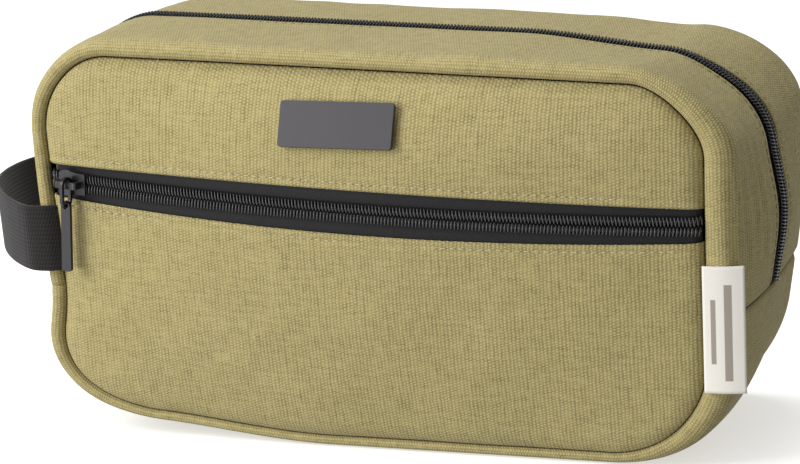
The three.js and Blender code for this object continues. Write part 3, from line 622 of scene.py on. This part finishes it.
# ---- main zip ----
# A nylon coil zip: on each side a black woven tape carries one row of a coil wound from thick filament.
# The two rows' heads mesh down the middle. It runs from side seam to side seam over the top.
TAPE_SINK = 1.7
COIL_PITCH = 1.3
tape, tape_shader = new_material("black_zip_tape", Roughness=0.8, Sheen_Weight=0.1, Specular_IOR_Level=0.3)
tape_weave = plain_weave(tape, 0.55, 0.1)
# Painted shade: the tape is darker in the gaps of its weave and lighter on the yarns.
tape_colour = two_tone(tape, tape_weave, "#0e0e0f", "#2b2a2b")
wire(tape, tape_colour.outputs[2], tape_shader.inputs["Base Color"])
tape_bump = node(tape, "Bump", {"Height": tape_weave, "Distance": 0.00012, "Strength": 0.8})
wire(tape, tape_bump.outputs[0], tape_shader.inputs["Normal"])

# Black nylon filament: a smooth moulded shine, faintly uneven where the coil was set in its shape.
coil_nylon, coil_shader = new_material(
    "black_nylon_filament", Base_Color=linear("#19191b"), Roughness=0.3, IOR=1.53, Specular_IOR_Level=0.6
)
coil_map = node(coil_nylon, "TexCoord").outputs["Object"]
coil_spots = node(coil_nylon, "TexNoise", {"Vector": coil_map, "Scale": 900.0})
coil_unevenness = coil_spots.outputs["Fac"]
coil_gloss = node(coil_nylon, "MapRange", {"Value": coil_unevenness, "To Min": 0.24, "To Max": 0.42})
wire(coil_nylon, coil_gloss.outputs[0], coil_shader.inputs["Roughness"])


def mouth_point(distance, y, height):
    x, z, out_x, out_z = outline(distance)
    most, share, _ = bulge(out_x, out_z)
    rise = crown(most, share, y) + height
    return settled(Vector((x + out_x * rise, y, z + out_z * rise)))


distances = np.linspace(0.6, ZIP_RUN - 0.6, 600)
mouth_line = np.array([mouth_point(d, 0, 0) for d in distances])
mouth_lengths = np.concatenate([[0], np.cumsum(np.linalg.norm(np.diff(mouth_line, axis=0), axis=1))])


def along_mouth(length):
    """The outline distance at this length along the mouth's middle."""
    return float(np.interp(length, mouth_lengths, distances))


def coil(name, side, run_length, place, phase):
    """A wound coil from a swept filament: place(length, y, height) is a point of its zip."""
    turn_steps = 10
    count = int(run_length / COIL_PITCH * turn_steps)
    path = bpy.data.curves.new(name, "CURVE")
    path.dimensions = "3D"
    path.bevel_depth = 0.36 * MM
    path.bevel_resolution = 1
    path.use_fill_caps = True
    spline = path.splines.new("POLY")
    spline.points.add(count - 1)
    for k in range(count):
        angle = 2 * math.pi * k / turn_steps
        length = COIL_PITCH * (k / turn_steps + phase)
        y = 1.62 + 1.72 * math.cos(angle) + 0.12
        height = -0.12 + 0.86 * math.sin(angle)
        lean = 0.12 * math.sin(angle)
        point = place(min(length + lean, run_length), side * y, height)
        spline.points[k].co = (*(point * MM), 1)
    wound = bpy.data.objects.new(name + "_path", path)
    bpy.context.scene.collection.objects.link(wound)
    mesh = bpy.data.meshes.new_from_object(wound.evaluated_get(bpy.context.evaluated_depsgraph_get()))
    mesh.name = name
    mesh.materials.clear()
    mesh.materials.append(coil_nylon)
    for face in mesh.polygons:
        face.use_smooth = True
    bpy.data.objects.remove(wound)
    piece = bpy.data.objects.new(name, mesh)
    bpy.context.scene.collection.objects.link(piece)
    return piece


for half, side in (("front", -1), ("back", 1)):

    def tape_point(s, t):
        return mouth_point(0.6 + (ZIP_RUN - 1.2) * s, side * (0.25 + 13.75 * t), -TAPE_SINK)

    def main_coil_point(length, y, height):
        return mouth_point(along_mouth(length), y, height)

    main_tape = sheet_of(f"main_zip_tape_{half}", 150, 8, tape_point, tape, 0.5)
    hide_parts(*[f"main_zip_tape_{half}_{place}" for place in ("left", "lip", "right")])
    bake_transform(main_tape)
    main_coil = coil(
        f"main_zip_coil_{half}", side, mouth_lengths[-1], main_coil_point, 0.5 if side > 0 else 0
    )
    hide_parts(*[f"main_zip_coil_{half}_{place}" for place in ("left", "lip", "right")])
    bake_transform(main_coil)

# ---- front: pocket panel and upper panel ----
# The front is cut in two along the pocket's zip. Both cut edges are turned under, and the whole front
# swells a little because the bag is filled.
TOPSTITCH_IN = 2.7
ZIP_TILT = math.radians(2.1)  # the pocket's zip is a little lower at its right end


def zip_height(x):
    return 93.7 - arc_rise(x) * math.sin(SLOPE) - x * math.tan(ZIP_TILT)


def slot_half(x):
    return 6 + 2.1 * (1 - (x / SEAM_HALF_WIDTH) ** 2)


def slot_low(x):
    return zip_height(x) - slot_half(x)


def slot_high(x):
    return zip_height(x) + slot_half(x)


def front_face(x, z):
    """The canvas face, with the turned edges a little proud and drawn in along their topstitching."""
    past_slot = abs(z - zip_height(x)) - slot_half(x)
    turned_edge = 0.35 * max(0, 1 - max(0, past_slot) / 9)
    drawn_in = 0.28 * math.exp(-(((past_slot - TOPSTITCH_IN) / 0.9) ** 2))
    rounded = 0.9 * max(0, 1 - max(0, past_slot) / 1.0) ** 2
    swelling = swell(x) * front_shape(z)
    return -(SEAM_DEPTH + edge_roll(x, z) + swelling + turned_edge - drawn_in - rounded)


pocket = sheet_of(
    "pocket_panel_canvas",
    130,
    90,
    panel_point(low_edge, slot_low, PANEL_INSET, front_face),
    canvas,
    rumple=0.8,
    cut="panel",
)
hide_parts("pocket_panel")
upper = sheet_of(
    "front_upper_panel_canvas",
    130,
    60,
    panel_point(slot_high, top_edge, PANEL_INSET, front_face),
    canvas,
    rumple=0.6,
    cut="panel",
)
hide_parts("front_upper_panel")
for piece in (pocket, upper):
    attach(piece, "bag")

# ---- pocket zip ----
# The same nylon coil zip, set behind the slot from seam to seam, with its tapes showing on both sides.
zip_axis = Vector((0, -math.sin(SLOPE), math.cos(SLOPE)))
zip_middle = Vector((0, -(SEAM_DEPTH + 2.5 + 14), 93.7 - 1))
zip_centre = zip_middle + Vector((0, math.cos(SLOPE), math.sin(SLOPE))) * ARC
POCKET_ZIP_START, POCKET_ZIP_END = -127.6, 125
pocket_run = ARC * (math.asin(POCKET_ZIP_END / ARC) - math.asin(POCKET_ZIP_START / ARC))


def on_pocket_zip(length, height, out):
    """A point this far along the zip from its left end, above its line, and out from the canvas face."""
    angle = math.asin(POCKET_ZIP_START / ARC) + length / ARC
    out -= 2.6 * max(0, 1 - min(length, pocket_run - length) / 3.6) ** 2
    start = zip_middle + Vector((0, -out, height)) - zip_centre
    swept = Matrix.Rotation(angle, 3, zip_axis) @ start + zip_centre - zip_middle
    return Matrix.Rotation(ZIP_TILT, 3, "Y") @ swept + zip_middle


for place, side in (("upper", 1), ("lower", -1)):

    def pocket_tape_point(s, t):
        return on_pocket_zip(pocket_run * s, side * (1.1 + 9.9 * t), -TAPE_SINK)

    pocket_tape = sheet_of(f"pocket_zip_{place}_tape", 110, 10, pocket_tape_point, tape, 0.5)
    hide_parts(f"pocket_zip_tape_{place}")
    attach(pocket_tape, "bag")
    pocket_coil = coil(f"pocket_zip_{place}_coil", side, pocket_run, on_pocket_zip, 0.5 if side > 0 else 0)
    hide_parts(f"pocket_zip_coil_{place}")
    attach(pocket_coil, "bag")

# ---- topstitching ----
# Cotton-wrapped thread, 3 mm stitches: pale beige beside the pocket zip, and canvas-coloured beside the
# main zip, where it holds the turned edges to the tapes.
STITCH_LENGTH, STITCH_STEP, THREAD = 2.7, 3.4, 0.5


def thread_finish(name, dark, light):
    thread, thread_shader = new_material(name, Roughness=0.75, Sheen_Weight=0.2, Specular_IOR_Level=0.3)
    plies = node(
        thread,
        "TexWave",
        {"Vector": node(thread, "TexCoord").outputs["Object"], "Scale": 500.0, "Distortion": 1.0},
        bands_direction="DIAGONAL",
    )
    # Painted shade: the twisted plies are painted as lighter and darker diagonal bands.
    ply_colour = two_tone(thread, plies.outputs["Fac"], dark, light)
    wire(thread, ply_colour.outputs[2], thread_shader.inputs["Base Color"])
    return thread


def stitched(name, lines, material):
    """A row of stitches for each line: each line is a length and a function of (length) to a point, in mm."""
    made = bmesh.new()
    for run_length, place in lines:
        for k in range(int(run_length / STITCH_STEP)):
            at = STITCH_STEP * (k + 0.5)
            start, end = place(at - STITCH_LENGTH / 2), place(at + STITCH_LENGTH / 2)
            run = end - start
            turn = run.to_track_quat("X", "Z").to_matrix().to_4x4()
            shape = Matrix.Diagonal((run.length / 2, THREAD / 2, THREAD / 2, 1))
            where = Matrix.Translation((start + end) / 2) @ turn @ shape
            bmesh.ops.create_uvsphere(made, u_segments=6, v_segments=4, radius=1, matrix=where)
    return finish_piece(name, made, material)


SLOT_ROW = 118.0  # half the length of a row beside the pocket's zip


def slot_line(side):
    def place(length):
        x = length - SLOT_ROW
        z = zip_height(x) + side * (slot_half(x) + TOPSTITCH_IN)
        return settled(Vector((x, front_face(x, z) - 0.1, z)))

    return 2 * SLOT_ROW, place


beige_thread = thread_finish("beige_cotton_thread", "#a99c78", "#cfc3a2")
slot_stitches = stitched("pocket_zip_topstitching", [slot_line(1), slot_line(-1)], beige_thread)
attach(slot_stitches, "bag")

khaki_thread = thread_finish("khaki_cotton_thread", "#8e8151", "#b9ab7b")
for half, side in (("front", -1), ("back", 1)):

    def mouth_stitch(length):
        distance = along_mouth(length)
        return mouth_point(distance, side * (mouth_edge(outline(distance)[2]) + 2.6), 0.1)

    mouth_row = [(mouth_lengths[-1], mouth_stitch)]
    mouth_stitches = stitched(f"main_zip_topstitching_{half}", mouth_row, khaki_thread)
    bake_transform(mouth_stitches)

# ---- metal plate ----
# A blank stamped plate with a satin dark grey finish, held by two pins that go through the canvas to a
# thin backing plate.


def worked_copy(name, source, bevel, segments, material, sharp=35):
    """A piece with the CAD node's shape and place, its triangles merged and its sharp edges rounded."""
    made = bmesh.new()
    made.from_mesh(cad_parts[source].data)
    bmesh.ops.scale(made, vec=(1000, 1000, 1000), verts=made.verts)
    bmesh.ops.remove_doubles(made, verts=made.verts, dist=0.002)
    bmesh.ops.dissolve_limit(made, angle_limit=math.radians(2), verts=made.verts, edges=made.edges)
    corners = [e for e in made.edges if e.is_manifold and e.calc_face_angle(0) > math.radians(sharp)]
    bmesh.ops.bevel(
        made,
        geom=corners,
        offset=bevel,
        offset_type="OFFSET",
        affect="EDGES",
        segments=segments,
        profile=0.5,
        material=-1,
        clamp_overlap=True,
    )
    piece = finish_piece(name, made, material)
    keep_flat = piece.modifiers.new("flats", "WEIGHTED_NORMAL")
    keep_flat.keep_sharp = True
    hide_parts(source)
    return piece


# Satin lacquer over brushed zinc: dark grey, evenly soft in the light, with the faintest brushed grain.
plate_finish, plate_shader = new_material(
    "satin_grey_lacquered_zinc", Base_Color=linear("#3d3b3e"), Metallic=0.35, Roughness=0.42
)
plate_map = node(plate_finish, "TexCoord").outputs["Object"]
grain_map = node(plate_finish, "Mapping", {"Vector": plate_map, "Scale": (60.0, 60.0, 2500.0)})
plate_grain = node(plate_finish, "TexNoise", {"Vector": grain_map.outputs[0], "Scale": 1.0, "Detail": 4.0})
grain = plate_grain.outputs["Fac"]
plate_rough = node(plate_finish, "MapRange", {"Value": grain, "To Min": 0.36, "To Max": 0.5})
wire(plate_finish, plate_rough.outputs[0], plate_shader.inputs["Roughness"])
plate_bump = node(plate_finish, "Bump", {"Height": grain, "Distance": 0.00001, "Strength": 0.3})
wire(plate_finish, plate_bump.outputs[0], plate_shader.inputs["Normal"])
plate = worked_copy("metal_plate_blank", "metal_plate", 0.35, 3, plate_finish)
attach(plate, "bag")

# ---- sliders, links and pulls ----
# Die-cast zinc sliders, plated a dark gunmetal. A wire link goes round each slider's bridge and carries
# a long flat pull.
# The plating's faint unevenness comes from the cast metal under it.
gunmetal, gunmetal_shader = new_material(
    "gunmetal_plated_zinc", Base_Color=linear("#3a393b"), Metallic=0.9, Roughness=0.34
)
gunmetal_map = node(gunmetal, "TexCoord").outputs["Object"]
cast = node(gunmetal, "TexNoise", {"Vector": gunmetal_map, "Scale": 700.0, "Detail": 3.0})
cast_rough = node(gunmetal, "MapRange", {"Value": cast.outputs["Fac"], "To Min": 0.27, "To Max": 0.45})
wire(gunmetal, cast_rough.outputs[0], gunmetal_shader.inputs["Roughness"])
cast_bump = node(gunmetal, "Bump", {"Height": cast.outputs["Fac"], "Distance": 0.00004, "Strength": 0.25})
wire(gunmetal, cast_bump.outputs[0], gunmetal_shader.inputs["Normal"])
for source, bevel, segments, body in (
    ("plate_backing", 0.12, 1, "bag"),
    ("pocket_zip_slider", 0.28, 3, "pocket_slider"),
    ("pocket_zip_link", 0.42, 3, "pocket_pull"),
    ("pocket_zip_pull", 0.3, 3, "pocket_pull"),
    ("main_zip_slider", 0.28, 3, "main_slider"),
    ("main_zip_link", 0.42, 3, "main_pull"),
    ("main_zip_pull", 0.3, 3, "main_pull"),
):
    piece = worked_copy(source + "_finished", source, bevel, segments, gunmetal)
    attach(piece, body)

# ---- carry loop ----
# Black 25 mm ribbed cotton webbing in one length, sewn into both seams of the left side. It springs out
# from the side in a flattened loop.
strap_route = [
    # out from the seam, and back from the middle, from the front end to the back end
    *((-1.2, -52.2), (2.4, -54.9), (8, -55.4), (12, -53.6), (18, -48.5), (26, -40)),
    *((35.5, -27), (43.5, -12), (48.5, 4), (50, 20), (47.5, 34), (40.5, 44)),
    *((30, 50.5), (18, 54.8), (12, 56.4), (8, 56.6), (3.5, 55.8), (0.4, 53.8)),
]
STRAP_WIDTH, STRAP_THICKNESS, STRAP_HEIGHT = 25, 1.6, 75.8
RIB_STEP, PICK_STEP = 1.6, 1.1
knots = np.array([(-SEAM_HALF_WIDTH - out, y) for out, y in strap_route])
knot_lengths = np.concatenate([[0], np.cumsum(np.linalg.norm(np.diff(knots, axis=0), axis=1))])


def strap_point(s, t):
    """A smooth curve through the route, from Catmull-Rom pieces, and the webbing's width across it."""
    length = s * knot_lengths[-1]
    k = min(int(np.searchsorted(knot_lengths, length, side="right")) - 1, len(knots) - 2)
    share = (length - knot_lengths[k]) / (knot_lengths[k + 1] - knot_lengths[k])
    p0, p1 = knots[max(k - 1, 0)], knots[k]
    p2, p3 = knots[k + 1], knots[min(k + 2, len(knots) - 1)]
    flat = 0.5 * (
        2 * p1
        + (p2 - p0) * share
        + (2 * p0 - 5 * p1 + 4 * p2 - p3) * share**2
        + (3 * p1 - p0 - 3 * p2 + p3) * share**3
    )
    return settled(Vector((flat[0], flat[1], STRAP_HEIGHT + STRAP_WIDTH * (t - 0.5))))


# Cotton webbing: lengthwise ribs crossed by a fine weft, matt and slightly hairy.
webbing, webbing_shader = new_material(
    "black_cotton_webbing", Roughness=0.85, Sheen_Weight=0.25, Sheen_Roughness=0.4, Specular_IOR_Level=0.3
)
strap_map = node(webbing, "SeparateXYZ", {0: node(webbing, "TexCoord").outputs["UV"]})
rib_rate, pick_rate = 2 * math.pi / (RIB_STEP * MM), 2 * math.pi / (PICK_STEP * MM)
rib_turns = node(webbing, "Math", {0: strap_map.outputs["Y"], 1: rib_rate}, operation="MULTIPLY").outputs[0]
ribs = node(webbing, "Math", {0: rib_turns}, operation="SINE")
pick_turns = node(webbing, "Math", {0: strap_map.outputs["X"], 1: pick_rate}, operation="MULTIPLY").outputs[0]
pick_shift = node(webbing, "Math", {0: rib_turns, 1: 0.5, 2: pick_turns}, operation="MULTIPLY_ADD")
picks = node(webbing, "Math", {0: pick_shift.outputs[0]}, operation="SINE")
strap_height = node(webbing, "Math", {0: ribs.outputs[0], 1: picks.outputs[0]}, operation="ADD")
strap_share = node(webbing, "MapRange", {"Value": strap_height.outputs[0], "From Min": -2.0, "From Max": 2.0})
# Painted shade: the webbing is darker in the grooves between its ribs and picks, and lighter on their tops.
strap_colour = two_tone(webbing, strap_share.outputs[0], "#0a0909", "#292525")
wire(webbing, strap_colour.outputs[2], webbing_shader.inputs["Base Color"])
strap_bump = node(webbing, "Bump", {"Height": strap_share.outputs[0], "Distance": 0.0003, "Strength": 0.8})
wire(webbing, strap_bump.outputs[0], webbing_shader.inputs["Normal"])
strap = sheet_of("carry_loop_webbing", 120, 14, strap_point, webbing, 0)
strap_wall = strap.modifiers.new("wall", "SOLIDIFY")
strap_wall.thickness = STRAP_THICKNESS * MM
strap_wall.offset = 0
strap_edge = strap.modifiers.new("edge", "BEVEL")
strap_edge.width = 0.35 * MM
strap_edge.segments = 2
strap_edge.limit_method = "ANGLE"
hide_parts("carry_loop_front_end", "carry_loop", "carry_loop_back_end")
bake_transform(strap)

# ---- side label ----
# A folded loop of undyed cotton tape in the front right seam, with a plain print of brown bars.
LABEL_WIDTH, LABEL_HEIGHT, LABEL_LOW, LABEL_DEPTH = 15, 46, 29.4, 54.4
label_bars = [(2.8, 4.6, 10.7, 34), (7.6, 10.4, 4.6, 39.4)]  # each one's span out from the seam, and up
# Cotton tape: a fine plain weave, undyed and matt, printed with the bars.
cotton, cotton_shader = new_material(
    "undyed_cotton_tape", Roughness=0.9, Sheen_Weight=0.15, Specular_IOR_Level=0.25
)
label_weave = plain_weave(cotton, 0.5, 0.15)
# Painted shade: the tape is a little darker in the gaps of its weave than on its yarns.
cotton_colour = two_tone(cotton, label_weave, "#ece6da", "#fbf8f1")
label_map = node(cotton, "SeparateXYZ", {0: node(cotton, "TexCoord").outputs["UV"]})


def label_within(axis, low, high):
    span = {0: label_map.outputs[axis], 1: (low + high) / 2 * MM, 2: (high - low) / 2 * MM}
    return node(cotton, "Math", span, operation="COMPARE").outputs[0]


bars = []
for spans in label_bars:
    both = {0: label_within("X", *spans[:2]), 1: label_within("Y", *spans[2:])}
    bars.append(node(cotton, "Math", both, operation="MULTIPLY"))
printed = node(cotton, "Math", {0: bars[0].outputs[0], 1: bars[1].outputs[0]}, operation="MAXIMUM")
label_colour = node(
    cotton,
    "Mix",
    {0: printed.outputs[0], 6: cotton_colour.outputs[2], 7: linear("#a79d92")},
    data_type="RGBA",
)
wire(cotton, label_colour.outputs[2], cotton_shader.inputs["Base Color"])
cotton_bump = node(cotton, "Bump", {"Height": label_weave, "Distance": 0.0001, "Strength": 0.6})
wire(cotton, cotton_bump.outputs[0], cotton_shader.inputs["Normal"])


def label_point(s, t):
    """One leaf of the folded tape: it leaves the seam, bows slightly and ends at the fold."""
    reach = LABEL_WIDTH * s
    bow = 0.9 * math.sin(math.pi * s) + 0.8 * (1 - t) ** 2 * s
    turn = math.radians(12)
    x = SEAM_HALF_WIDTH - 0.1 + reach * math.cos(turn) + bow * math.sin(turn)
    y = -LABEL_DEPTH + reach * math.sin(turn) - bow * math.cos(turn)
    return Vector((x, y, LABEL_LOW + LABEL_HEIGHT * t))


label = sheet_of("side_label_tape", 16, 40, label_point, cotton, 0.8)
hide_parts("side_label")
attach(label, "bag")
